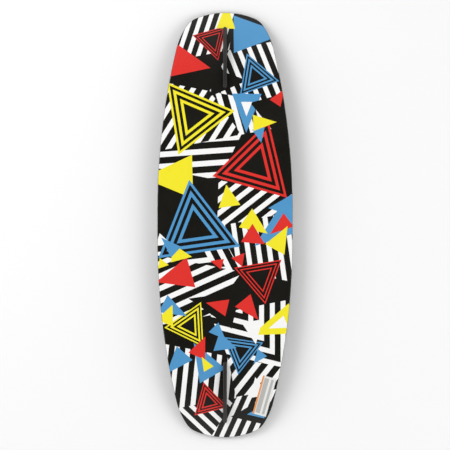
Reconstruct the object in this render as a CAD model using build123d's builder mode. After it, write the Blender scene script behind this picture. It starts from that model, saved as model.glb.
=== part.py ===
from build123d import *
import math
import os

# A twin-tip wakeboard with a three-stage rocker, lying base up on its two tips.
# X runs across the board, Y runs from the tail to the nose, Z is up.
# The origin is on the ground under the middle of the board. All sizes are in millimetres.

# Plan shape: straight sides, then three tightening arcs and one tip arc in each quarter
board_length = 1350.0
board_width = 428.0
side_arc_radius, side_arc_turn = 2195.0, 13.4
hip_arc_radius, hip_arc_turn = 230.0, 20.3
knuckle_arc_radius, knuckle_arc_turn = 64.0, 33.1

# Side view: a flat middle, then one upturned arc to each tip, thinning outwards
flat_half_length = 380.0
thickness = 19.0
tip_thickness = 12.5
tip_rise = 58.0

# Layers, counted inwards from each face, and the edge strip around the core
sheet = 0.8
laminate = 1.0
foot_patch = 0.6
rail_width = 12.0
base_edge_radius = 2.5
deck_edge_radius = 6.0

# Binding inserts: two groups of two by three for each foot, on the one inch grid
stance = 508.0
insert_pitch = 25.4
insert_group_spacing = 152.4
insert_columns, insert_rows = 2, 3
insert_radius = 5.5
insert_length = 11.0
insert_bore_radius = 2.5
insert_bore_depth = 9.0
block_width, block_length, block_depth = 56.0, 82.0, 12.0
foot_patch_width, foot_patch_start, foot_patch_end = 210.0, 118.0, 370.0

# Stringers
stringer_offset = 60.0
stringer_width = 6.0
stringer_length = 1120.0

# Fins: low, long blades standing square to the base
fin_place = 531.0
fin_length = 199.5
fin_width = 14.0
fin_height = 25.0
fin_end_height = 2.5
fin_root = 9.0
fin_draft = 4.0
fin_crest_round = 2.0
fin_screw_spacing = 90.0

# Fin fixings, each along a line square to the base under the fin's middle
screw_radius = 3.0
screw_reach = 9.5
head_radius, head_height = 5.75, 3.4
socket_across_flats, socket_depth = 4.0, 2.0
washer_radius, washer_thickness = 7.0, 1.2
clearance_radius = 3.3
sleeve_radius = 5.0
recess_radius = 7.5
recess_floor = 15.6
sleeve_length = 13.6
nut_radius = 4.0
nut_length = 11.0
nut_top = 10.0

# Blank label near the tail
label_width, label_length, label_thickness = 44.0, 126.0, 0.25
label_place = (125.0, -542.5)
label_turn = -15.5

# Values worked out from the driving dimensions
skin = sheet + laminate
half_length = board_length / 2
half_width = board_width / 2
tip_reach = half_length - flat_half_length
foot_place = stance / 2
under_head = -recess_floor - washer_thickness
beyond = 40.0


def arc_radius(run, rise):
    """Radius of the arc that leaves level and rises by rise over run."""
    return (run**2 + rise**2) / (2 * rise)


base_radius = arc_radius(tip_reach, tip_rise)
deck_radius = arc_radius(tip_reach, tip_rise - (thickness - tip_thickness))

# The rounded lower edge of each tip touches the ground at z = 0
contact_radius = deck_radius + deck_edge_radius
contact_run = tip_reach - deck_edge_radius
base_level = thickness + contact_radius - math.sqrt(contact_radius**2 - contact_run**2)
deck_level = base_level - thickness


def base_face(depth):
    """Level and tip radius of the surface that lies depth inside the base."""
    return base_level - depth, base_radius - depth


def deck_face(height):
    """Level and tip radius of the surface that lies height inside the deck."""
    return deck_level + height, deck_radius + height


def base_height(y):
    """Height of the base at a distance y along the board."""
    run = max(abs(y) - flat_half_length, 0.0)
    return base_level - base_radius + math.sqrt(base_radius**2 - run**2)


def above_middle(point):
    """Whether a point of the blank lies nearer to its base than to its deck."""
    return point.Z > base_height(point.Y) - tip_thickness / 2


def plan_outline(inset):
    """Plan shape of the board, moved in from its edge by inset."""
    turns = (side_arc_turn, hip_arc_turn, knuckle_arc_turn)
    radii = (side_arc_radius, hip_arc_radius, knuckle_arc_radius)
    heading, across, along = 0.0, half_width, 0.0
    for radius, turn in zip(radii, turns):
        turned = heading + math.radians(turn)
        across += radius * (math.cos(turned) - math.cos(heading))
        along += radius * (math.sin(turned) - math.sin(heading))
        heading = turned
    tip_radius = across / math.cos(heading)
    straight_half = half_length - along - tip_radius * (1 - math.sin(heading))
    tip_turn = 90 - math.degrees(heading)
    with BuildSketch() as plan:
        with BuildLine():
            edge = Line((half_width - inset, 0), (half_width - inset, straight_half))
            for radius, turn in zip(radii + (tip_radius,), turns + (tip_turn,)):
                edge = JernArc(edge @ 1, edge % 1, radius - inset, turn)
            mirror(about=Plane.YZ)
            mirror(about=Plane.XZ)
        make_face()
    return plan.sketch


def side_view(upper, lower):
    """Side view of the layer between two rocker surfaces, past the ends of the board."""
    run = tip_reach + beyond
    with BuildSketch() as side:
        with BuildLine():
            ends = []
            for level, radius in (upper, lower):
                middle = Line((-flat_half_length, level), (flat_half_length, level))
                turn = math.degrees(math.asin(run / radius))
                nose = JernArc(middle @ 1, (1, 0), radius, -turn)
                tail = JernArc(middle @ 0, (-1, 0), radius, turn)
                ends.append((nose @ 1, tail @ 1))
            Line(ends[0][0], ends[1][0])
            Line(ends[0][1], ends[1][1])
        make_face()
    return side.sketch


def write(piece, name):
    """Label one finished piece and write it to its own file."""
    piece.label = name
    export_step(piece, f"parts/{name}.step")


def fin_plane(end, offset=0.0):
    """Plane square to the base under a fin, with Y along the board; end is 1 or -1."""
    tilt = math.asin((fin_place - flat_half_length) / base_radius)
    up = Vector(0, end * math.sin(tilt), math.cos(tilt))
    foot = Vector(0, end * fin_place, base_height(fin_place))
    return Plane(origin=foot + up * offset, x_dir=(1, 0, 0), z_dir=up)


def group_plane(end, side):
    """Plane on the deck at the middle of one insert group, facing into the board."""
    place = end * foot_place + side * insert_group_spacing / 2
    return Plane(origin=(0, place, deck_level), x_dir=(1, 0, 0), z_dir=(0, 0, 1))


def fin_side_plane(end):
    """Upright plane along a fin's middle, with its second axis square to the base."""
    under = fin_plane(end)
    return Plane(origin=under.origin, x_dir=under.y_dir, z_dir=under.x_dir)


def by_place(piece, axis):
    """The solids of a piece, in order along an axis."""
    return piece.part.solids().sort_by(axis)


os.makedirs("parts", exist_ok=True)
tips = {"nose": 1, "tail": -1}
groups = {
    f"{tip}_foot_{side_name}": (end, side)
    for tip, end in tips.items()
    for side_name, side in (("inner", -end), ("outer", end))
}

by_group_place = sorted(groups, key=lambda name: group_plane(*groups[name]).origin.Y)
screw_places = [(0, -fin_screw_spacing / 2), (0, fin_screw_spacing / 2)]

# The whole board as one rounded blank, with every hole through it
with BuildPart() as blank:
    with BuildSketch(Plane.YZ):
        add(side_view(base_face(0), deck_face(0)))
    extrude(amount=board_width, both=True)
    with BuildSketch(Plane.XY.offset(-beyond)):
        add(plan_outline(0))
    extrude(amount=base_level + 2 * beyond, mode=Mode.INTERSECT)
    rims = blank.edges().filter_by(Axis.X, reverse=True).filter_by(Axis.Z, reverse=True)
    base_rim = rims.filter_by(lambda edge: above_middle(edge @ 0.5))
    fillet(base_rim, base_edge_radius)
    rims = blank.edges().filter_by(Axis.X, reverse=True).filter_by(Axis.Z, reverse=True)
    deck_rim = rims.filter_by(lambda edge: not above_middle(edge @ 0.5))
    fillet(deck_rim, deck_edge_radius)
    for end in tips.values():
        with BuildSketch(fin_plane(end)):
            with Locations(*screw_places):
                Circle(sleeve_radius)
        extrude(amount=beyond, both=True, mode=Mode.SUBTRACT)
        with BuildSketch(fin_plane(end, -recess_floor)):
            with Locations(*screw_places):
                Circle(recess_radius)
        extrude(amount=-beyond, mode=Mode.SUBTRACT)
    for end, side in groups.values():
        with BuildSketch(group_plane(end, side)):
            with GridLocations(insert_pitch, insert_pitch, insert_columns, insert_rows):
                Circle(insert_radius)
        extrude(amount=insert_length, mode=Mode.SUBTRACT)

# Sheets and laminates: the base pair runs to the edge, the deck pair stops at the rails
layers = {
    "base_sheet": (base_face(0), base_face(sheet), 0.0),
    "base_laminate": (base_face(sheet), base_face(skin), 0.0),
    "deck_laminate": (deck_face(skin), deck_face(sheet), rail_width),
    "deck_sheet": (deck_face(sheet), deck_face(0), rail_width),
}
for name, (upper, lower, inset) in layers.items():
    with BuildPart() as layer:
        add(blank.part)
        with BuildSketch(Plane.YZ):
            add(side_view(upper, lower))
        extrude(amount=board_width, both=True, mode=Mode.INTERSECT)
        with BuildSketch(Plane.XY.offset(-beyond)):
            add(plan_outline(inset))
        extrude(amount=base_level + 2 * beyond, mode=Mode.INTERSECT)
    write(layer.part, name)

# Rails: the strip around the core, in two halves that meet at the nose and the tail
with BuildPart() as rail_ring:
    add(blank.part)
    with BuildSketch(Plane.YZ):
        add(side_view(base_face(skin), deck_face(-deck_edge_radius)))
    extrude(amount=board_width, both=True, mode=Mode.INTERSECT)
    with BuildSketch(Plane.XY.offset(-beyond)):
        add(plan_outline(rail_width))
    extrude(amount=base_level + 2 * beyond, mode=Mode.SUBTRACT)
for name, keep in (("left_rail", Keep.BOTTOM), ("right_rail", Keep.TOP)):
    with BuildPart() as rail:
        add(rail_ring.part)
        split(bisect_by=Plane.YZ, keep=keep)
    write(rail.part, name)

# Glass patches under each foot, let into the core against the deck laminate
patch_middle = (foot_patch_start + foot_patch_end) / 2
with BuildPart() as patches:
    with BuildSketch(Plane.XY.offset(deck_level + skin)):
        with Locations((0, patch_middle), (0, -patch_middle)):
            Rectangle(foot_patch_width, foot_patch_end - foot_patch_start)
    extrude(amount=foot_patch)

# Insert blocks: dense blocks around each group of inserts, on top of the patches
block_bottom = deck_level + skin + foot_patch
with BuildPart() as blocks:
    with BuildSketch(Plane.XY.offset(block_bottom)):
        with Locations(*[(0, group_plane(*place).origin.Y) for place in groups.values()]):
            Rectangle(block_width, block_length)
    extrude(amount=block_depth)

# Stringers: two stiff strips through the full depth of the core
with BuildPart() as stringer_strips:
    with BuildSketch(Plane.YZ):
        add(side_view(base_face(skin), deck_face(skin)))
    extrude(amount=board_width, both=True)
    with BuildSketch(Plane.XY.offset(-beyond)):
        with Locations((stringer_offset, 0), (-stringer_offset, 0)):
            Rectangle(stringer_width, stringer_length)
    extrude(amount=base_level + 2 * beyond, mode=Mode.INTERSECT)
    add(patches.part, mode=Mode.SUBTRACT)
for name, strip in zip(("left_stringer", "right_stringer"), by_place(stringer_strips, Axis.X)):
    write(strip, name)

# Foam core, with room for the stringers, patches and blocks
with BuildPart() as foam_core:
    add(blank.part)
    with BuildSketch(Plane.YZ):
        add(side_view(base_face(skin), deck_face(skin)))
    extrude(amount=board_width, both=True, mode=Mode.INTERSECT)
    with BuildSketch(Plane.XY.offset(-beyond)):
        add(plan_outline(rail_width))
    extrude(amount=base_level + 2 * beyond, mode=Mode.INTERSECT)
    add(stringer_strips.part, mode=Mode.SUBTRACT)
    add(patches.part, mode=Mode.SUBTRACT)
    add(blocks.part, mode=Mode.SUBTRACT)
write(foam_core.part, "foam_core")

# The insert holes go through the patches and into the blocks
with BuildPart() as insert_holes:
    for place in groups.values():
        with BuildSketch(group_plane(*place)):
            with GridLocations(insert_pitch, insert_pitch, insert_columns, insert_rows):
                Circle(insert_radius)
        extrude(amount=insert_length)
with BuildPart() as pierced_patches:
    add(patches.part)
    add(insert_holes.part, mode=Mode.SUBTRACT)
with BuildPart() as pierced_blocks:
    add(blocks.part)
    add(insert_holes.part, mode=Mode.SUBTRACT)
for name, piece in zip(("tail_foot_patch", "nose_foot_patch"), by_place(pierced_patches, Axis.Y)):
    write(piece, name)
for name, piece in zip(by_group_place, by_place(pierced_blocks, Axis.Y)):
    write(piece, f"{name}_block")

# Threaded inserts, flush with the deck and open towards it
for name, place in groups.items():
    with BuildPart() as inserts:
        with BuildSketch(group_plane(*place)):
            with GridLocations(insert_pitch, insert_pitch, insert_columns, insert_rows):
                Circle(insert_radius)
        extrude(amount=insert_length)
        with BuildSketch(group_plane(*place)):
            with GridLocations(insert_pitch, insert_pitch, insert_columns, insert_rows):
                Circle(insert_bore_radius)
        extrude(amount=insert_bore_depth, mode=Mode.SUBTRACT)
    write(inserts.part, f"{name}_inserts")

# Fins and their fixings
for tip, end in tips.items():
    with BuildPart() as fin:
        with BuildSketch(fin_plane(end, -fin_root)):
            SlotOverall(fin_length, fin_width, rotation=90)
        extrude(amount=fin_root + fin_height, taper=fin_draft)
        with BuildSketch(fin_side_plane(end)):
            with BuildLine():
                crest = ThreePointArc(
                    (-fin_length / 2, fin_end_height), (0, fin_height), (fin_length / 2, fin_end_height)
                )
                Polyline(
                    crest @ 0,
                    (-fin_length / 2, -fin_root),
                    (fin_length / 2, -fin_root),
                    crest @ 1,
                )
            make_face()
        extrude(amount=fin_width, both=True, mode=Mode.INTERSECT)
        crest_face = fin.faces().filter_by(GeomType.CYLINDER).sort_by(SortBy.AREA)[-1]
        fillet(crest_face.edges(), fin_crest_round)
        with BuildSketch(Plane.YZ):
            add(side_view(base_face(0), base_face(beyond)))
        extrude(amount=board_width, both=True, mode=Mode.SUBTRACT)
        with BuildSketch(fin_plane(end, nut_top)):
            with Locations(*screw_places):
                Circle(nut_radius)
        extrude(amount=-beyond, mode=Mode.SUBTRACT)
    write(fin.part, f"{tip}_fin")

    with BuildPart() as nuts:
        with BuildSketch(fin_plane(end, nut_top)):
            with Locations(*screw_places):
                Circle(nut_radius)
                Circle(screw_radius, mode=Mode.SUBTRACT)
        extrude(amount=-nut_length)
        with BuildSketch(fin_plane(end, nut_top)):
            with Locations(*screw_places):
                Circle(nut_radius)
        extrude(amount=screw_reach - nut_top)
    write(nuts.part, f"{tip}_fin_nuts")

    with BuildPart() as sleeves:
        with BuildSketch(fin_plane(end, -recess_floor)):
            with Locations(*screw_places):
                Circle(sleeve_radius)
                Circle(clearance_radius, mode=Mode.SUBTRACT)
        extrude(amount=sleeve_length)
    write(sleeves.part, f"{tip}_fin_sleeves")

    with BuildPart() as washers:
        with BuildSketch(fin_plane(end, -recess_floor)):
            with Locations(*screw_places):
                Circle(washer_radius)
                Circle(clearance_radius, mode=Mode.SUBTRACT)
        extrude(amount=-washer_thickness)
    write(washers.part, f"{tip}_fin_washers")

    with BuildPart() as screws:
        with BuildSketch(fin_plane(end, under_head)):
            with Locations(*screw_places):
                Circle(screw_radius)
        extrude(amount=screw_reach - under_head)
        with BuildSketch(fin_plane(end, under_head)):
            with Locations(*screw_places):
                Circle(head_radius)
        extrude(amount=-head_height)
        with BuildSketch(fin_plane(end, under_head - head_height)):
            with Locations(*screw_places):
                RegularPolygon(socket_across_flats / 2, 6, major_radius=False)
        extrude(amount=socket_depth, mode=Mode.SUBTRACT)
    write(screws.part, f"{tip}_fin_screws")

# Blank label on the base near the tail
with BuildPart() as label:
    with BuildSketch(Plane.YZ):
        add(side_view(base_face(-label_thickness), base_face(0)))
    extrude(amount=board_width, both=True)
    with BuildSketch(Plane.XY.offset(-beyond)):
        with Locations(Location(label_place, label_turn)):
            Rectangle(label_width, label_length)
    extrude(amount=base_level + 2 * beyond, mode=Mode.INTERSECT)
write(label.part, "blank_label")
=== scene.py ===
import logging
import math
import random
from abc import ABC, abstractmethod
from collections import defaultdict
from dataclasses import dataclass, field
from enum import Enum
from functools import cached_property

import bpy
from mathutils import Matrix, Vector
from mathutils.geometry import delaunay_2d_cdt


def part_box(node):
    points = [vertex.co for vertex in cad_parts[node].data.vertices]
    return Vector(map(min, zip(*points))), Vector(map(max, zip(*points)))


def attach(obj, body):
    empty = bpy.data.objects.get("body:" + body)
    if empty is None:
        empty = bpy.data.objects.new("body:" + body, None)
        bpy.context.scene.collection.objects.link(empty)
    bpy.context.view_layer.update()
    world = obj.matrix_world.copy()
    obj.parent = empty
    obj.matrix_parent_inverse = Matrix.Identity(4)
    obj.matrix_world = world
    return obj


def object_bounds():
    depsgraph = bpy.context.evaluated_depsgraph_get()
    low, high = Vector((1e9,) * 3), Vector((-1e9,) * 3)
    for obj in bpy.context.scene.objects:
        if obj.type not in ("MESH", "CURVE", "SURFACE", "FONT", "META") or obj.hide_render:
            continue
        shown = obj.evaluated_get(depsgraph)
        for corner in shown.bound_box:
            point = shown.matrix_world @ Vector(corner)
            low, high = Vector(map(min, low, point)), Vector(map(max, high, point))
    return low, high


# A wakeboard lying base up: its printed base and deck, edge, core, fins and fixings.
# X runs across the board, Y from the tail to the nose, Z is up. Sizes are in millimetres
# in the classes that follow, and in metres wherever a mesh is made.

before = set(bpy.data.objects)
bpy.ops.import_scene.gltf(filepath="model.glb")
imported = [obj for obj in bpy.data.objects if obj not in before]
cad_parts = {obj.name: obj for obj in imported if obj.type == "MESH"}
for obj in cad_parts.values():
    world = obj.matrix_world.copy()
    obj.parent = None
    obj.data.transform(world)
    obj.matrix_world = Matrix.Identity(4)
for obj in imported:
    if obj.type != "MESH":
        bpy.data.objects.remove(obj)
cad_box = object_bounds()

log = logging.getLogger("wakeboard")

MM = 0.001
BASE_TIP_RISE = 58.0
DECK_TIP_RISE = 51.5
BODY = "root"

Point = tuple[float, float]
Colour = tuple[float, float, float]
Socket = bpy.types.NodeSocket
Corner = tuple[int, int]
Facet = tuple[int, ...]


class Ink(Enum):
    """The inks of the printed design, each with its linear colour."""

    BLACK = (0.0085, 0.0080, 0.0060)
    WHITE = (0.98, 0.98, 0.965)
    RED = (0.7682, 0.0356, 0.0284)
    YELLOW = (0.9473, 0.8388, 0.0307)
    BLUE = (0.0908, 0.3231, 0.6105)


# ---------------------------------------------------------------------------------------
# Finishes
# ---------------------------------------------------------------------------------------


class Bench:
    """A material under construction, with short ways to add and join its nodes."""

    def __init__(self, name: str) -> None:
        """Start an empty material with a principled surface.

        Args:
            name: The material's name.
        """
        self.material = bpy.data.materials.new(name)
        self.material.use_nodes = True
        self.tree = self.material.node_tree
        self.surface = self.tree.nodes["Principled BSDF"]

    def add(self, kind: str, **settings: object) -> bpy.types.Node:
        """Add a node.

        Args:
            kind: The node's type, without its ShaderNode prefix.
            **settings: Properties of the node, or values of its input sockets.

        Returns:
            The new node.
        """
        node = self.tree.nodes.new("ShaderNode" + kind)
        for key, value in settings.items():
            if hasattr(node, key):
                setattr(node, key, value)
            else:
                node.inputs[key.replace("_", " ")].default_value = value
        return node

    def join(self, source: Socket, target: Socket) -> None:
        """Link an output to an input."""
        self.tree.links.new(source, target)

    def place(self, stretch: Colour = (1.0, 1.0, 1.0), turn: float = 0.0) -> Socket:
        """Coordinates in the object's own metres, stretched and turned about Z.

        Args:
            stretch: Scale along each axis.
            turn: Turn about Z in radians.

        Returns:
            The socket that carries the coordinates.
        """
        coordinates = self.add("TexCoord")
        mapping = self.add("Mapping", Scale=stretch, Rotation=(0.0, 0.0, turn))
        self.join(coordinates.outputs["Object"], mapping.inputs["Vector"])
        return mapping.outputs["Vector"]

    def noise(self, where: Socket, scale: float, detail: float = 3.0) -> Socket:
        """Noise from 0 to 1 at the given coordinates.

        Args:
            where: The coordinates.
            scale: Grains per metre.
            detail: Number of finer layers.

        Returns:
            The noise value's socket.
        """
        node = self.add("TexNoise", Scale=scale, Detail=detail)
        self.join(where, node.inputs["Vector"])
        return node.outputs["Fac"]

    def span(self, value: Socket, start: float, end: float, low: float, high: float) -> Socket:
        """Map a value's range start..end to low..high, held at both ends.

        Args:
            value: The value's socket.
            start: Where the value's range starts.
            end: Where it ends.
            low: What start becomes.
            high: What end becomes.

        Returns:
            The mapped value's socket.
        """
        node = self.add("MapRange", From_Min=start, From_Max=end, To_Min=low, To_Max=high)
        self.join(value, node.inputs["Value"])
        return node.outputs["Result"]

    def blend(self, factor: Socket, first: Colour, second: Colour) -> Socket:
        """A colour between first and second.

        Args:
            factor: 0 for the first colour, 1 for the second.
            first: One colour.
            second: The other colour.

        Returns:
            The colour's socket.
        """
        node = self.add("ValToRGB")
        node.color_ramp.elements[0].color = (*first, 1.0)
        node.color_ramp.elements[1].color = (*second, 1.0)
        self.join(factor, node.inputs["Fac"])
        return node.outputs["Color"]

    def sum(self, first: Socket, second: Socket, operation: str = "ADD") -> Socket:
        """Combine two values with a maths node.

        Args:
            first: One value's socket.
            second: The other value's socket.
            operation: What the maths node does.

        Returns:
            The result's socket.
        """
        node = self.add("Math", operation=operation)
        self.join(first, node.inputs[0])
        self.join(second, node.inputs[1])
        return node.outputs[0]

    def relief(self, height: Socket, depth: float, strength: float = 1.0) -> None:
        """Bump the surface.

        Args:
            height: The height value's socket.
            depth: Height of the relief in metres.
            strength: Strength of the bump.
        """
        bump = self.add("Bump", Strength=strength, Distance=depth)
        self.join(height, bump.inputs["Height"])
        self.join(bump.outputs["Normal"], self.surface.inputs["Normal"])

    def colour(self, source: Socket) -> None:
        """Give the surface its colour."""
        self.join(source, self.surface.inputs["Base Color"])

    def roughness(self, source: Socket) -> None:
        """Give the surface its roughness."""
        self.join(source, self.surface.inputs["Roughness"])

    def fixed(self, **values: float) -> None:
        """Set the surface's uniform values, by socket name with underscores for spaces."""
        for key, value in values.items():
            self.surface.inputs[key.replace("_", " ")].default_value = value


def shade(colour: Colour, factor: float) -> Colour:
    """A colour made lighter or darker by a factor."""
    return tuple(min(channel * factor, 1.0) for channel in colour)


@dataclass(frozen=True)
class Finish(ABC):
    """A material that pieces can wear."""

    name: str
    colour: Colour

    @abstractmethod
    def paint(self, bench: Bench) -> None:
        """Add the finish's nodes to a bench."""

    def material(self) -> bpy.types.Material:
        """The finish as a material, made on its first use.

        Returns:
            The material.
        """
        known = bpy.data.materials.get(self.name)
        if known is not None:
            return known
        bench = Bench(self.name)
        self.paint(bench)
        return bench.material


@dataclass(frozen=True)
class PrintedFilm(Finish):
    """Ink under a clear gloss film, with faint unevenness and hairline scratches along the board."""

    unevenness: float = 0.03
    clouds: float = 22.0
    scratches: float = 1500.0
    patches: float = 9.0
    ripples: float = 420.0
    along_board: Colour = (1.0, 0.025, 1.0)
    relief_depth: float = 0.00004

    def paint(self, bench: Bench) -> None:
        """Add uneven ink, a slightly rippled clear film and fine lengthways scratches.

        Args:
            bench: The material under construction.
        """
        plain = bench.place()
        cloud = bench.noise(plain, self.clouds, 4.0)
        low = shade(self.colour, 1.0 - self.unevenness)
        high = shade(self.colour, 1.0 + self.unevenness)
        bench.colour(bench.blend(cloud, low, high))
        drag = bench.noise(bench.place(self.along_board, 0.06), self.scratches, 2.0)
        scuffs = bench.span(drag, 0.58, 0.7, 0.0, 0.22)
        gloss = bench.span(bench.noise(plain, self.patches), 0.35, 0.7, 0.25, 0.36)
        bench.roughness(bench.sum(scuffs, gloss))
        ripple = bench.noise(plain, self.ripples, 2.0)
        bench.relief(bench.sum(ripple, scuffs, "SUBTRACT"), self.relief_depth, 0.35)
        bench.fixed(Specular_IOR_Level=0.24, Coat_Weight=0.18, Coat_Roughness=0.16)


@dataclass(frozen=True)
class MouldedPlastic(Finish):
    """Moulded plastic with a fine spark-eroded grain."""

    grain: float = 1400.0
    gloss: float = 0.45
    wear_scale: float = 35.0
    grain_depth: float = 0.00008

    def paint(self, bench: Bench) -> None:
        """Add a grained surface with slightly worn high spots.

        Args:
            bench: The material under construction.
        """
        plain = bench.place()
        grain = bench.noise(plain, self.grain, 2.0)
        wear = bench.noise(plain, self.wear_scale, 5.0)
        bench.colour(bench.blend(wear, shade(self.colour, 0.75), shade(self.colour, 1.45)))
        bench.roughness(bench.span(wear, 0.3, 0.7, self.gloss + 0.1, self.gloss - 0.06))
        bench.relief(grain, self.grain_depth, 0.5)


@dataclass(frozen=True)
class TurnedMetal(Finish):
    """Machined metal with fine tool marks."""

    gloss: float = 0.28
    marks: Colour = (1.0, 1.0, 0.04)
    mark_scale: float = 2600.0
    bloom_scale: float = 180.0
    mark_depth: float = 0.00003

    def paint(self, bench: Bench) -> None:
        """Add tool marks that run one way, and a dull bloom.

        Args:
            bench: The material under construction.
        """
        marks = bench.noise(bench.place(self.marks), self.mark_scale, 2.0)
        bloom = bench.noise(bench.place(), self.bloom_scale, 4.0)
        bench.colour(bench.blend(bloom, shade(self.colour, 0.8), shade(self.colour, 1.15)))
        bench.roughness(bench.span(marks, 0.2, 0.8, self.gloss - 0.07, self.gloss + 0.12))
        bench.relief(marks, self.mark_depth, 0.4)
        bench.fixed(Metallic=1.0)


@dataclass(frozen=True)
class LaminatedWood(Finish):
    """Thin wood plies with a long grain."""

    grain_scale: float = 900.0
    ply_scale: float = 320.0
    grain_depth: float = 0.0002
    along_board: Colour = (1.0, 0.035, 1.0)

    def paint(self, bench: Bench) -> None:
        """Add long grain lines and pores along the board.

        Args:
            bench: The material under construction.
        """
        grain = bench.noise(bench.place(self.along_board), self.grain_scale, 6.0)
        plies = bench.add("TexWave", Scale=self.ply_scale, Distortion=0.6, Detail=2.0, bands_direction="X")
        bench.join(bench.place(), plies.inputs["Vector"])
        both = bench.sum(bench.span(plies.outputs["Fac"], 0.0, 1.0, 0.0, 0.3), grain)
        tone = bench.span(both, 0.35, 0.95, 0.0, 1.0)
        bench.colour(bench.blend(tone, shade(self.colour, 0.55), shade(self.colour, 1.2)))
        bench.roughness(bench.span(grain, 0.3, 0.7, 0.75, 0.55))
        bench.relief(grain, self.grain_depth, 0.4)


@dataclass(frozen=True)
class CellFoam(Finish):
    """Cut closed-cell foam."""

    cells: float = 1100.0
    clouds: float = 14.0
    cell_depth: float = 0.0004

    def paint(self, bench: Bench) -> None:
        """Add open cells, each darkened towards its middle as painted shade in its pit, over a slowly varying
        colour.

        Args:
            bench: The material under construction.
        """
        plain = bench.place()
        cells = bench.add("TexVoronoi", Scale=self.cells)
        bench.join(plain, cells.inputs["Vector"])
        cloud = bench.noise(plain, self.clouds)
        # Painted shade: each cell is darkened towards its middle, where the bump sinks its pit, on top of the
        # foam's own slowly varying colour.
        pit_shade = bench.span(cells.outputs["Distance"], 0.0, 0.8, 0.4, 0.0)
        tone = bench.sum(pit_shade, bench.span(cloud, 0.3, 0.7, 0.0, 0.6))
        bench.colour(bench.blend(tone, shade(self.colour, 1.05), shade(self.colour, 0.72)))
        bench.roughness(bench.span(cloud, 0.3, 0.7, 0.8, 0.92))
        bench.relief(cells.outputs["Distance"], self.cell_depth, 0.6)


@dataclass(frozen=True)
class WovenGlass(Finish):
    """Glass cloth set in dark resin, with its weave showing through."""

    threads: float = 260.0
    bias: float = 45.0
    thread_depth: float = 0.0001

    def paint(self, bench: Bench) -> None:
        """Add warp and weft bands under a resin gloss.

        Args:
            bench: The material under construction.
        """
        plain = bench.place(turn=math.radians(self.bias))
        bands = []
        for direction in ("X", "Y"):
            wave = bench.add("TexWave", Scale=self.threads, Distortion=0.3, bands_direction=direction)
            bench.join(plain, wave.inputs["Vector"])
            bands.append(wave.outputs["Fac"])
        weave = bench.sum(bands[0], bands[1], "MULTIPLY")
        bench.colour(bench.blend(weave, shade(self.colour, 0.6), shade(self.colour, 2.6)))
        bench.roughness(bench.span(weave, 0.0, 1.0, 0.35, 0.5))
        bench.relief(weave, self.thread_depth, 0.4)


@dataclass(frozen=True)
class LabelStock(Finish):
    """Blank vinyl with a coloured band down one long edge and two tinted writing panels."""

    centre: Point
    turn: float
    width: float
    length: float
    band: Colour = (0.82, 0.33, 0.10)
    tint: Colour = (0.50, 0.49, 0.47)
    band_share: float = 0.13
    panels: tuple[Point, ...] = ((0.17, 0.50), (0.66, 0.84))
    margin: float = 0.05
    mottle: float = 160.0
    texture: float = 700.0
    relief_depth: float = 0.00004

    def paint(self, bench: Bench) -> None:
        """Add the band and the panels across the label's width, on slightly mottled vinyl.

        Args:
            bench: The material under construction.
        """
        coordinates = bench.add("TexCoord")
        shift = bench.add("VectorMath", operation="SUBTRACT")
        shift.inputs[1].default_value = (self.centre[0] * MM, self.centre[1] * MM, 0.0)
        bench.join(coordinates.outputs["Object"], shift.inputs[0])
        square = bench.add("Mapping", Rotation=(0.0, 0.0, -math.radians(self.turn)))
        bench.join(shift.outputs["Vector"], square.inputs["Vector"])
        parts = bench.add("SeparateXYZ")
        bench.join(square.outputs["Vector"], parts.inputs["Vector"])
        across = bench.span(parts.outputs["X"], -self.width * MM / 2, self.width * MM / 2, 0.0, 1.0)
        along = bench.span(parts.outputs["Y"], -self.length * MM / 2, self.length * MM / 2, 0.0, 1.0)
        rows = self.between(bench, along, self.margin, 1 - self.margin)
        inside = bench.sum(rows, self.columns(bench, across), "MULTIPLY")
        cloud = bench.noise(bench.place(), self.mottle, 4.0)
        stock = bench.blend(cloud, shade(self.colour, 0.94), self.colour)
        grey = self.over(bench, inside, stock, self.tint)
        bench.colour(self.over(bench, self.between(bench, across, -1.0, self.band_share), grey, self.band))
        bench.roughness(bench.span(cloud, 0.3, 0.7, 0.38, 0.5))
        bench.relief(bench.noise(bench.place(), self.texture, 2.0), self.relief_depth, 0.3)

    def columns(self, bench: Bench, across: Socket) -> Socket:
        """Where the tinted panels are across the label, as a value of 0 or 1.

        Args:
            bench: The material under construction.
            across: Place across the label, 0 to 1.

        Returns:
            The value's socket.
        """
        total = None
        for start, end in self.panels:
            panel = self.between(bench, across, start, end)
            total = panel if total is None else bench.sum(total, panel)
        return total

    @staticmethod
    def between(bench: Bench, value: Socket, start: float, end: float) -> Socket:
        """1 where the value lies between start and end, else 0.

        Args:
            bench: The material under construction.
            value: The value's socket.
            start: The lower limit.
            end: The upper limit.

        Returns:
            The result's socket.
        """
        above = bench.add("Math", operation="GREATER_THAN")
        below = bench.add("Math", operation="LESS_THAN")
        above.inputs[1].default_value = start
        below.inputs[1].default_value = end
        bench.join(value, above.inputs[0])
        bench.join(value, below.inputs[0])
        return bench.sum(above.outputs[0], below.outputs[0], "MULTIPLY")

    @staticmethod
    def over(bench: Bench, factor: Socket, under: Socket, top: Colour) -> Socket:
        """A flat colour laid over another colour where the factor is 1.

        Args:
            bench: The material under construction.
            factor: 1 where the flat colour shows.
            under: The other colour's socket.
            top: The flat colour.

        Returns:
            The colour's socket.
        """
        mix = bench.add("Mix", data_type="RGBA")
        sockets = [socket for socket in mix.inputs if socket.type == "RGBA"]
        sockets[1].default_value = (*top, 1.0)
        bench.join(factor, mix.inputs["Factor"])
        bench.join(under, sockets[0])
        return next(socket for socket in mix.outputs if socket.type == "RGBA")


BRASS = TurnedMetal("insert brass", (0.4342, 0.2664, 0.0723))


# ---------------------------------------------------------------------------------------
# Shape of the board
# ---------------------------------------------------------------------------------------


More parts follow.
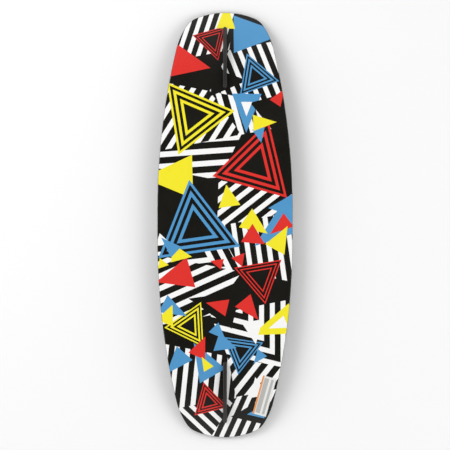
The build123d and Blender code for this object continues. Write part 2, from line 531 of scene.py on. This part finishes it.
@dataclass(frozen=True)
class Skin:
    """One printed face of the board, flat in the middle and on one arc towards each tip."""

    node: str
    outward: int
    half_length: float
    tip_rise: float
    flat_half_length: float = 380.0
    sheet: float = 0.8

    @cached_property
    def level(self) -> float:
        """Height of the flat middle: the top of the base sheet, or the underside of the deck sheet."""
        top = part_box(self.node)[1][2] / MM
        return top if self.outward > 0 else top - self.sheet

    @cached_property
    def tip_radius(self) -> float:
        """Radius of the arc that leaves the flat middle level and has risen by tip_rise at the tip."""
        run = self.half_length - self.flat_half_length
        return (run**2 + self.tip_rise**2) / (2 * self.tip_rise)

    def point(self, place: Point, height: float) -> Vector:
        """A point over the face, in metres.

        Args:
            place: The plan place, in millimetres.
            height: Distance out from the face, in millimetres.

        Returns:
            The point in metres.
        """
        run = max(abs(place[1]) - self.flat_half_length, 0.0)
        lean = math.copysign(run / self.tip_radius, place[1])
        fall = math.sqrt(1.0 - lean * lean)
        reach = self.outward * height
        z = self.level - self.tip_radius + (self.tip_radius + reach) * fall
        return Vector((place[0], place[1] + reach * lean, z)) * MM


@dataclass(frozen=True)
class Plan:
    """Plan shape of the board: straight sides, three tightening arcs and a tip arc."""

    half_length: float
    half_width: float
    arcs: tuple[tuple[float, float], ...] = ((2195.0, 13.4), (230.0, 20.3), (64.0, 33.1))
    steps: int = 14

    def quarter(self, inset: float) -> list[Point]:
        """Points from the widest place to the nose.

        Args:
            inset: How far inside the edge.

        Returns:
            The points of one quarter.
        """
        heading = across = along = 0.0
        turns = []
        for radius, turn in self.arcs:
            turned = heading + math.radians(turn)
            across += radius * (math.cos(turned) - math.cos(heading))
            along += radius * (math.sin(turned) - math.sin(heading))
            turns.append((radius, heading, turned))
            heading = turned
        tip_radius = (self.half_width + across) / math.cos(heading)
        turns.append((tip_radius, heading, math.pi / 2))
        x = self.half_width - inset
        y = self.half_length - along - tip_radius * (1 - math.sin(heading))
        points = [(x, y)]
        for radius, start, end in turns:
            for step in range(1, self.steps + 1):
                angle = start + (end - start) * step / self.steps
                reach = radius - inset
                points.append((x + reach * (math.cos(angle) - math.cos(start)),
                               y + reach * (math.sin(angle) - math.sin(start))))
            x, y = points[-1]
        return points

    def loop(self, inset: float) -> list[Point]:
        """The whole outline, inset from the edge.

        Args:
            inset: How far inside the edge.

        Returns:
            The points of a closed loop, counterclockwise.
        """
        right_nose = self.quarter(inset)
        left_nose = [(-x, y) for x, y in reversed(right_nose[:-1])]
        left_tail = [(-x, -y) for x, y in right_nose]
        right_tail = [(x, -y) for x, y in reversed(right_nose[:-1])]
        return right_nose + left_nose + left_tail + right_tail


# ---------------------------------------------------------------------------------------
# Printed design
# ---------------------------------------------------------------------------------------


def turned(place: Point, angle: float) -> Point:
    """A plan point turned about the origin by an angle in degrees."""
    c, s = math.cos(math.radians(angle)), math.sin(math.radians(angle))
    return place[0] * c - place[1] * s, place[0] * s + place[1] * c


def clipped(corners: list[Point], origin: Point, heading: float) -> list[Point]:
    """The part of a convex outline on the far side of a line.

    Args:
        corners: The outline.
        origin: A point of the line.
        heading: Direction, in degrees, in which the kept part lies.

    Returns:
        The kept outline, empty if nothing is left.
    """
    normal = turned((1.0, 0.0), heading)
    depths = [(x - origin[0]) * normal[0] + (y - origin[1]) * normal[1] for x, y in corners]
    kept = []
    for index, (x, y) in enumerate(corners):
        before = index - 1
        if (depths[before] < 0) != (depths[index] < 0):
            share = depths[before] / (depths[before] - depths[index])
            bx, by = corners[before]
            kept.append((bx + (x - bx) * share, by + (y - by) * share))
        if depths[index] >= 0:
            kept.append((x, y))
    return kept


@dataclass(frozen=True)
class Patch:
    """One flat area of ink."""

    ink: Ink
    corners: tuple[Point, ...]

    def holds(self, place: Point) -> bool:
        """Whether a plan point lies in the patch.

        Args:
            place: The plan point.

        Returns:
            True inside the patch.
        """
        x, y = place
        inside = False
        for index, (ax, ay) in enumerate(self.corners):
            bx, by = self.corners[index - 1]
            if (ay > y) != (by > y) and x < ax + (bx - ax) * (y - ay) / (by - ay):
                inside = not inside
        return inside


class Motif(ABC):
    """A shape of the design, which lays down patches in order, each over the last."""

    @abstractmethod
    def patches(self) -> list[Patch]:
        """The motif's patches, the lowest first."""


@dataclass(frozen=True)
class Bands(Motif):
    """Parallel white bands on a black area with straight sides."""

    area: tuple[Point, ...]
    heading: float
    pitch: float
    white: float = 0.5
    shift: float = 0.0

    def patches(self) -> list[Patch]:
        """The black area, then its bands.

        Returns:
            The patches, the lowest first.
        """
        laid = [Patch(Ink.BLACK, self.area)]
        normal = turned((1.0, 0.0), self.heading + 90.0)
        depths = [x * normal[0] + y * normal[1] for x, y in self.area]
        first = math.floor((min(depths) - self.shift) / self.pitch)
        last = math.ceil((max(depths) - self.shift) / self.pitch)
        for number in range(first, last + 1):
            near = number * self.pitch + self.shift
            far = near + self.pitch * self.white
            band = clipped(list(self.area), (normal[0] * near, normal[1] * near), self.heading + 90.0)
            band = clipped(band, (normal[0] * far, normal[1] * far), self.heading - 90.0)
            if len(band) > 2:
                laid.append(Patch(Ink.WHITE, tuple(band)))
        return laid


@dataclass(frozen=True)
class Corners(Motif):
    """Banded corners nested one inside the other, on a black area with straight sides."""

    area: tuple[Point, ...]
    tip: Point
    heading: float
    pitch: float
    white: float
    opening: float

    def patches(self) -> list[Patch]:
        """Bands on each side of the corners' shared axis, meeting on it.

        Returns:
            The patches, the lowest first.
        """
        laid = []
        for side in (-1, 1):
            half = clipped(list(self.area), self.tip, self.heading + side * 90.0)
            heading = self.heading + side * self.opening / 2
            normal = turned((1.0, 0.0), heading + 90.0)
            start = self.tip[0] * normal[0] + self.tip[1] * normal[1]
            shift = start if side > 0 else start - self.pitch * self.white
            laid += Bands(tuple(half), heading, self.pitch, self.white, shift).patches()
        return laid


@dataclass(frozen=True)
class Triangle(Motif):
    """A plain triangle with two equal sides."""

    ink: Ink
    centre: Point
    width: float
    height: float
    turn: float

    def corners(self, scale: float = 1.0) -> tuple[Point, ...]:
        """The corners, scaled about the centre.

        Args:
            scale: Size of the result, as a share of the triangle.

        Returns:
            The three corners.
        """
        half, foot = self.width / 2, -self.height / 3
        shape = ((-half, foot), (half, foot), (0.0, -2 * foot))
        placed = [turned((x * scale, y * scale), self.turn) for x, y in shape]
        return tuple((self.centre[0] + x, self.centre[1] + y) for x, y in placed)

    def patches(self) -> list[Patch]:
        """The triangle as one patch."""
        return [Patch(self.ink, self.corners())]


@dataclass(frozen=True)
class NestedTriangle(Triangle):
    """Coloured triangles one inside the other, with black between them."""

    scales: tuple[float, ...] = (1.0, 0.9, 0.78, 0.65, 0.51, 0.38)

    def patches(self) -> list[Patch]:
        """Coloured and black triangles in turn, from the outside in."""
        inks = (self.ink, Ink.BLACK)
        return [Patch(inks[index % 2], self.corners(scale)) for index, scale in enumerate(self.scales)]


@dataclass(frozen=True)
class Confetti:
    """Plain triangles strewn over the board, spaced apart, the same on every run."""

    plan: Plan
    count: int
    sizes: tuple[float, float]
    inks: tuple[Ink, ...]
    neighbours: list[NestedTriangle]
    seed: int
    crowding: float = 0.3875
    tries: int = 400
    heights: tuple[float, float] = (0.85, 1.5)
    headings: tuple[float, float] = (0.0, 360.0)

    def triangles(self) -> list[Triangle]:
        """Strew the triangles.

        Returns:
            The triangles in the order they were placed.
        """
        dice = random.Random(self.seed)
        board = Patch(Ink.BLACK, tuple(self.plan.loop(self.sizes[0] / 4)))
        taken = [(near.centre, near.width) for near in self.neighbours]
        strewn = []
        for _ in range(self.tries):
            if len(strewn) == self.count:
                break
            width = dice.uniform(*self.sizes)
            centre = (dice.uniform(-self.plan.half_width, self.plan.half_width),
                      dice.uniform(-self.plan.half_length, self.plan.half_length))
            shape = Triangle(self.inks[len(strewn) % len(self.inks)], centre, width,
                             width * dice.uniform(*self.heights), dice.uniform(*self.headings))
            clear = all(math.dist(centre, other) > self.crowding * (width + size) for other, size in taken)
            if clear and board.holds(centre):
                strewn.append(shape)
                taken.append((centre, width))
        return strewn


@dataclass(frozen=True)
class Mosaic(Motif):
    """Leaning rows of banded tiles that fill a board from the nose to the tail."""

    rows: tuple[tuple[tuple[float, ...] | None, ...], ...]
    reach: float = 690.0
    half_width: float = 235.0
    lean: float = 46.0
    sway: float = 55.0
    sway_step: float = 2.3
    sway_start: float = 0.6
    band_values: int = 3

    def tile(self, row: int, side: int) -> tuple[Point, ...]:
        """The corners of one tile.

        Args:
            row: The row's number from the nose.
            side: 0 on the left, 1 on the right.

        Returns:
            The four corners.
        """
        step = 2 * self.reach / len(self.rows)
        lines = []
        for index in (row, row + 1):
            level = self.reach - step * index
            rise = self.lean * (1 if index % 2 else -1) * (0 < index < len(self.rows))
            middle = self.sway * math.sin(self.sway_step * index + self.sway_start)
            centre = level + rise * middle / self.half_width
            edge = self.half_width * (1 if side else -1)
            lines.append(((middle, centre), (edge, level + rise * (1 if side else -1))))
        (inner_top, outer_top), (inner_low, outer_low) = lines
        return inner_top, outer_top, outer_low, inner_low

    def patches(self) -> list[Patch]:
        """The bands of every tile that has them.

        Returns:
            The patches, the lowest first.
        """
        laid = []
        for number, row in enumerate(self.rows):
            for side, choice in enumerate(row):
                area = self.tile(number, side)
                if choice is None:
                    continue
                if len(choice) > self.band_values:
                    middle = (sum(x for x, _ in area) / len(area), sum(y for _, y in area) / len(area))
                    laid += Corners(area, middle, *choice).patches()
                else:
                    laid += Bands(area, *choice).patches()
        return laid


@dataclass
class Printing:
    """A design laid on one face of the board as a thin closed inlay for each ink."""

    prefix: str
    skin: Skin
    outline: list[Point]
    motifs: list[Motif]
    proud: float
    inks: tuple[Ink, ...] = (Ink.WHITE, Ink.RED, Ink.YELLOW, Ink.BLUE)
    sunk: float = 0.2
    station: float = 12.0
    sharp_from: float = 30.0
    tidy: float = 0.001
    pieces: list[bpy.types.Object] = field(default_factory=list)

    def build(self) -> None:
        """Cut the face apart along every edge of the design and make each ink's inlay."""
        patches = [patch for motif in self.motifs for patch in motif.patches()]
        places, triangles = self.arrangement(patches)
        by_ink = defaultdict(list)
        board = Patch(Ink.BLACK, tuple(self.outline))
        for triangle in triangles:
            centre = self.middle(places, triangle)
            if not board.holds(centre):
                continue
            top = next((patch.ink for patch in reversed(patches) if patch.holds(centre)), Ink.BLACK)
            by_ink[top].append(triangle)
        for ink in self.inks:
            if by_ink[ink]:
                self.pieces.append(self.inlay(f"{self.prefix}_{ink.name.lower()}_print", places, by_ink[ink]))

    def arrangement(self, patches: list[Patch]) -> tuple[list[Vector], list[Facet]]:
        """Triangulate the face so that no triangle crosses an edge of the design.

        Args:
            patches: The patches of the design.

        Returns:
            The plan points and the triangles between them.
        """
        points, edges = [], []
        for corners in [tuple(self.outline)] + [patch.corners for patch in patches]:
            first = len(points)
            points += [Vector(corner) for corner in corners]
            edges += [(first + i, first + (i + 1) % len(corners)) for i in range(len(corners))]
        half_width = max(x for x, _ in self.outline) + 1.0
        half_length = max(y for _, y in self.outline)
        steps = math.floor((half_length - self.skin.flat_half_length) / self.station)
        for end in (-1, 1):
            for step in range(steps + 1):
                level = end * (self.skin.flat_half_length + step * self.station)
                edges.append((len(points), len(points) + 1))
                points += [Vector((-half_width, level)), Vector((half_width, level))]
        places, _, triangles, *_ = delaunay_2d_cdt(points, edges, [], 0, self.tidy)
        return places, [tuple(triangle) for triangle in triangles if self.area(places, triangle) > self.tidy]

    @staticmethod
    def middle(places: list[Vector], triangle: Facet) -> Point:
        """The centre of a triangle."""
        return (sum(places[i].x for i in triangle) / 3, sum(places[i].y for i in triangle) / 3)

    @staticmethod
    def area(places: list[Vector], triangle: Facet) -> float:
        """The area of a triangle."""
        a, b, c = (places[i] for i in triangle)
        return abs((b.x - a.x) * (c.y - a.y) - (c.x - a.x) * (b.y - a.y)) / 2

    def inlay(self, name: str, places: list[Vector], triangles: list[Facet]) -> bpy.types.Object:
        """Make the closed inlay of one ink.

        Args:
            name: The piece's name.
            places: The plan points.
            triangles: The ink's triangles, counterclockwise from above.

        Returns:
            The new object.
        """
        corners = self.split_corners(triangles)
        numbers = {root: index for index, root in enumerate(dict.fromkeys(corners.values()))}
        plan = {numbers[root]: corner[1] for corner, root in corners.items()}
        count = len(numbers)
        upper = [self.skin.point(places[plan[i]], self.proud) for i in range(count)]
        lower = [self.skin.point(places[plan[i]], -self.sunk) for i in range(count)]
        faces, borders = [], {}
        for index, triangle in enumerate(triangles):
            ring = [numbers[corners[index, point]] for point in triangle]
            faces.append(ring)
            faces.append([count + i for i in reversed(ring)])
            for a, b in zip(ring, ring[1:] + ring[:1]):
                if (b, a) in borders:
                    del borders[b, a]
                else:
                    borders[a, b] = True
        faces += [[b, a, count + a, count + b] for a, b in borders]
        if self.skin.outward < 0:
            faces = [list(reversed(face)) for face in faces]
        mesh = bpy.data.meshes.new(name)
        mesh.from_pydata([tuple(v) for v in upper + lower], [], faces)
        mesh.shade_smooth()
        mesh.set_sharp_from_angle(angle=math.radians(self.sharp_from))
        piece = bpy.data.objects.new(name, mesh)
        bpy.context.scene.collection.objects.link(piece)
        return piece

    @staticmethod
    def split_corners(triangles: list[Facet]) -> dict[Corner, Corner]:
        """Group triangle corners that meet through shared edges, so that areas touching at a point part.

        Args:
            triangles: The triangles of one ink.

        Returns:
            For each corner, given as triangle number and point number, the first corner of its group.
        """
        corners = [(index, point) for index, triangle in enumerate(triangles) for point in triangle]
        parent = {corner: corner for corner in corners}

        def root(corner: Corner) -> Corner:
            """Follow a corner to the first of its group."""
            while parent[corner] != corner:
                parent[corner] = parent[parent[corner]]
                corner = parent[corner]
            return corner

        neighbours = {}
        for index, triangle in enumerate(triangles):
            for a, b in zip(triangle, triangle[1:] + triangle[:1]):
                other = neighbours.setdefault(frozenset((a, b)), index)
                if other != index:
                    for point in (a, b):
                        parent[root((index, point))] = root((other, point))
        return {corner: root(corner) for corner in parent}

    def dress(self) -> None:
        """Give each inlay its ink and its body."""
        for piece in self.pieces:
            ink = Ink[piece.name.split("_")[1].upper()]
            piece.data.materials.append(film(ink).material())
            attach(piece, BODY)
            log.info("%s: %d faces", piece.name, len(piece.data.polygons))


def film(ink: Ink) -> PrintedFilm:
    """The printed finish of an ink."""
    return PrintedFilm(f"{ink.name.lower()} print", ink.value)


# ---------------------------------------------------------------------------------------
# Sub-assemblies
# ---------------------------------------------------------------------------------------


def wear(node: str, finish: Finish) -> None:
    """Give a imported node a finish.

    Args:
        node: The node's name.
        finish: The finish it gets.
    """
    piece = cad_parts[node]
    if not piece.material_slots:
        piece.data.materials.append(None)
    for slot in piece.material_slots:
        slot.material = finish.material()
    log.info("%s wears %s", node, finish.name)


@dataclass
class PrintedBase:
    """The base sheet with its printed design."""

    plan: Plan
    skin: Skin
    edge: float = 1.0
    proud: float = 0.06
    broad_inks: tuple[Ink, ...] = (Ink.BLUE, Ink.YELLOW, Ink.BLACK, Ink.RED, Ink.BLUE, Ink.BLACK)
    small_inks: tuple[Ink, ...] = (Ink.RED, Ink.YELLOW, Ink.BLUE, Ink.WHITE, Ink.YELLOW, Ink.RED, Ink.BLUE)
    broad_count: int = 12
    small_count: int = 32
    broad_sizes: tuple[float, float] = (92.0, 150.0)
    small_sizes: tuple[float, float] = (34.0, 74.0)
    small_crowding: float = 0.2625
    broad_seed: int = 2
    small_seed: int = 2
    printing: Printing | None = None

    def build(self) -> None:
        """Lay the design on the base."""
        self.printing = Printing("base", self.skin, self.plan.loop(self.edge), self.motifs(), self.proud)
        self.printing.build()

    def dress(self) -> None:
        """Ink the inlays and blacken the sheet under them."""
        self.printing.dress()
        wear("base_sheet", film(Ink.BLACK))

    def motifs(self) -> list[Motif]:
        """The design from its lowest layer to its highest: bands, then plain and nested triangles.

        Returns:
            The motifs in that order.
        """
        nested = self.nested_triangles()
        broad = Confetti(self.plan, self.broad_count, self.broad_sizes, self.broad_inks, nested,
                         self.broad_seed)
        small = Confetti(self.plan, self.small_count, self.small_sizes, self.small_inks, nested,
                         self.small_seed, self.small_crowding)
        return [self.ground(), *broad.triangles(), *nested, *small.triangles()]

    @staticmethod
    def ground() -> Mosaic:
        """Tiles as heading, pitch, white share and an opening for nested corners, or None for black."""
        return Mosaic((
            ((72.0, 30.0, 0.45), None),
            (None, (112.0, 32.0, 0.45)),
            ((58.0, 34.0, 0.45), (64.0, 36.0, 0.45, 84.0)),
            ((4.0, 38.0, 0.45), None),
            (None, (38.0, 34.0, 0.45)),
            ((152.0, 36.0, 0.45, 70.0), (98.0, 34.0, 0.45)),
            ((24.0, 36.0, 0.45), None),
            (None, (128.0, 34.0, 0.45, 76.0)),
            ((84.0, 34.0, 0.45), (52.0, 36.0, 0.45)),
            ((136.0, 30.0, 0.45), (66.0, 30.0, 0.45)),
        ))

    @staticmethod
    def nested_triangles() -> list[NestedTriangle]:
        """The nested triangles, large down the middle and smaller towards the tips."""
        fine = (1.0, 0.92, 0.80, 0.72, 0.56, 0.48)
        return [
            NestedTriangle(Ink.RED, (-40.0, 585.0), 112.0, 100.0, 196.0, fine),
            NestedTriangle(Ink.BLUE, (96.0, 470.0), 132.0, 118.0, 20.0),
            NestedTriangle(Ink.YELLOW, (-100.0, 345.0), 226.0, 204.0, 38.0),
            NestedTriangle(Ink.RED, (98.0, 190.0), 246.0, 218.0, -16.0),
            NestedTriangle(Ink.BLUE, (-92.0, -10.0), 262.0, 232.0, 8.0),
            NestedTriangle(Ink.RED, (112.0, -165.0), 150.0, 132.0, 70.0, fine),
            NestedTriangle(Ink.YELLOW, (-112.0, -318.0), 138.0, 124.0, -26.0),
            NestedTriangle(Ink.BLUE, (52.0, -400.0), 128.0, 112.0, 172.0),
            NestedTriangle(Ink.RED, (-52.0, -560.0), 108.0, 96.0, 14.0),
        ]


@dataclass
class PrintedDeck:
    """The deck sheet with bands and nested triangles clear of the feet and the screws."""

    plan: Plan
    skin: Skin
    edge: float = 15.0
    proud: float = 0.2
    printing: Printing | None = None

    def build(self) -> None:
        """Lay the design on the deck."""
        self.printing = Printing("deck", self.skin, self.plan.loop(self.edge), self.motifs(), self.proud)
        self.printing.build()

    def dress(self) -> None:
        """Ink the inlays and blacken the sheet under them."""
        self.printing.dress()
        wear("deck_sheet", film(Ink.BLACK))

    @staticmethod
    def motifs() -> list[Motif]:
        """Bands and nested triangles between the feet, and plain triangles beside each fin.

        Returns:
            The motifs, the lowest first.
        """
        middle = [
            Bands(((-240.0, 60.0), (-240.0, -20.0), (240.0, -60.0), (240.0, 20.0)), 175.0, 20.0),
            NestedTriangle(Ink.BLUE, (-70.0, 0.0), 130.0, 115.0, 12.0),
            NestedTriangle(Ink.RED, (72.0, -4.0), 130.0, 115.0, 192.0),
        ]
        ends = []
        for end, turn in ((1, 0.0), (-1, 180.0)):
            for side, ink in ((-1, Ink.RED), (1, Ink.YELLOW)):
                ends.append(Triangle(ink, (side * 82.0, end * 500.0), 90.0, 120.0, turn + side * 14.0))
                ends.append(Triangle(Ink.WHITE, (side * 128.0, end * 432.0), 46.0, 70.0, turn - side * 20.0))
        return middle + ends


@dataclass
class Structure:
    """What lies between the two sheets, and the edge strips around it."""

    edge: Colour = (0.0097, 0.0097, 0.0097)
    wood: Colour = (0.4851, 0.2582, 0.0976)
    resin: Colour = (0.0423, 0.0437, 0.0369)
    foam: Colour = (0.6939, 0.6240, 0.4233)
    dense_foam: Colour = (0.2747, 0.2542, 0.1878)

    def dress(self) -> None:
        """Finish the core, the laminates, the blocks and the edge."""
        for side in ("left", "right"):
            wear(f"{side}_rail", MouldedPlastic("edge plastic", self.edge, 900.0, 0.4))
            wear(f"{side}_stringer", LaminatedWood("stringer wood", self.wood))
        cloth = WovenGlass("glass cloth in dark resin", self.resin)
        for node in ("base_laminate", "deck_laminate", "nose_foot_patch", "tail_foot_patch"):
            wear(node, cloth)
        wear("foam_core", CellFoam("core foam", self.foam))
        for end in ("nose", "tail"):
            for place in ("inner", "outer"):
                wear(f"{end}_foot_{place}_block", CellFoam("dense foam", self.dense_foam, 3200.0))
                wear(f"{end}_foot_{place}_inserts", BRASS)


@dataclass
class FinSet:
    """The two fins with their screws, washers, sleeves and nuts."""

    plastic: Colour = (0.0150, 0.0130, 0.0115)
    steel: Colour = (0.4851, 0.4910, 0.4969)
    aluminium: Colour = (0.3968, 0.4072, 0.4179)

    def dress(self) -> None:
        """Finish both fins and their fixings."""
        steel = TurnedMetal("satin stainless steel", self.steel, 0.24)
        finishes = {
            "fin": MouldedPlastic("fin plastic", self.plastic, 1600.0, 0.42),
            "fin_nuts": BRASS,
            "fin_sleeves": TurnedMetal("turned aluminium", self.aluminium, 0.3),
            "fin_washers": steel,
            "fin_screws": steel,
        }
        for end in ("nose", "tail"):
            for part, finish in finishes.items():
                wear(f"{end}_{part}", finish)


@dataclass
class Label:
    """The blank label near the tail."""

    width: float = 44.0
    length: float = 126.0
    turn: float = -15.5
    white: Colour = (0.86, 0.86, 0.84)

    def dress(self) -> None:
        """Finish the label, centred on its own box."""
        low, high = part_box("blank_label")
        centre = ((low[0] + high[0]) / 2 / MM, (low[1] + high[1]) / 2 / MM)
        wear("blank_label", LabelStock("label vinyl", self.white, centre, self.turn, self.width, self.length))


@dataclass
class Studio:
    """A pale floor, soft light and the camera straight above the board."""

    floor_size: float = 60.0
    camera_height: float = 12.0
    view_width: float = 1.427
    floor_colour: Colour = (0.99, 0.99, 0.99)
    far_clip: float = 100.0
    sky_strength: float = 1.03
    bright_below: float = 0.72
    dim_above: float = 0.95
    dim_grey: float = 0.02

    def build(self) -> None:
        """Make the floor, the lights, the sky and the camera."""
        self.floor()
        self.sky()
        self.lamp("key lamp", (-2.6, 1.6, 3.0), 2.2, 50.0)
        self.lamp("fill lamp", (2.8, -1.2, 3.0), 2.6, 24.0)
        self.camera()

    def floor(self) -> None:
        """A wide pale floor with a very faint mottle."""
        half = self.floor_size / 2
        mesh = bpy.data.meshes.new("floor")
        corners = [(-half, -half, 0.0), (half, -half, 0.0), (half, half, 0.0), (-half, half, 0.0)]
        mesh.from_pydata(corners, [], [(0, 1, 2, 3)])
        floor = bpy.data.objects.new("floor", mesh)
        bpy.context.scene.collection.objects.link(floor)
        bench = Bench("pale floor")
        mottle = bench.noise(bench.place(), 1.5)
        bench.colour(bench.blend(mottle, shade(self.floor_colour, 0.995), self.floor_colour))
        bench.fixed(Roughness=0.9, Specular_IOR_Level=0.1)
        mesh.materials.append(bench.material)

    def sky(self) -> None:
        """Even light from all round, dimmer straight overhead so that gloss stays clear."""
        world = bpy.data.worlds.new("soft light")
        world.use_nodes = True
        nodes, links = world.node_tree.nodes, world.node_tree.links
        place = nodes.new("ShaderNodeTexCoord")
        parts = nodes.new("ShaderNodeSeparateXYZ")
        ramp = nodes.new("ShaderNodeValToRGB")
        links.new(place.outputs["Generated"], parts.inputs["Vector"])
        links.new(parts.outputs["Z"], ramp.inputs["Fac"])
        links.new(ramp.outputs["Color"], nodes["Background"].inputs["Color"])
        bright, dim = ramp.color_ramp.elements
        bright.position, bright.color = self.bright_below, (1.0, 1.0, 1.0, 1.0)
        dim.position, dim.color = self.dim_above, (self.dim_grey, self.dim_grey, self.dim_grey, 1.0)
        nodes["Background"].inputs["Strength"].default_value = self.sky_strength
        bpy.context.scene.world = world

    @staticmethod
    def lamp(name: str, place: tuple[float, float, float], size: float, power: float) -> None:
        """Hang a square lamp that faces the middle of the board.

        Args:
            name: The lamp's name.
            place: Where it hangs, in metres.
            size: Its side, in metres.
            power: Its power in watts.
        """
        light = bpy.data.lights.new(name, "AREA")
        light.size = size
        light.energy = power
        lamp = bpy.data.objects.new(name, light)
        lamp.location = place
        lamp.rotation_euler = (-Vector(place)).to_track_quat("-Z", "Y").to_euler()
        bpy.context.scene.collection.objects.link(lamp)

    def camera(self) -> None:
        """Look straight down at the base with a long lens."""
        data = bpy.data.cameras.new("camera")
        middle = (cad_box[0] + cad_box[1]) / 2
        data.lens = data.sensor_width * (self.camera_height - middle.z) / self.view_width
        data.clip_end = self.far_clip
        camera = bpy.data.objects.new("camera", data)
        camera.location = (0.0, 0.0, self.camera_height)
        bpy.context.scene.collection.objects.link(camera)
        bpy.context.scene.camera = camera


def main() -> None:
    """Build the stage, then each sub-assembly in order."""
    logging.basicConfig(level=logging.INFO, format="%(name)s: %(message)s")
    bpy.context.scene.view_settings.view_transform = "Standard"
    low, high = cad_box
    plan = Plan(high.y / MM, high.x / MM)
    Studio().build()
    base = PrintedBase(plan, Skin("base_sheet", 1, plan.half_length, BASE_TIP_RISE))
    deck = PrintedDeck(plan, Skin("deck_sheet", -1, plan.half_length, DECK_TIP_RISE))
    for face in (base, deck):
        face.build()
        face.dress()
    Structure().dress()
    FinSet().dress()
    Label().dress()


if __name__ == "__main__":
    main()
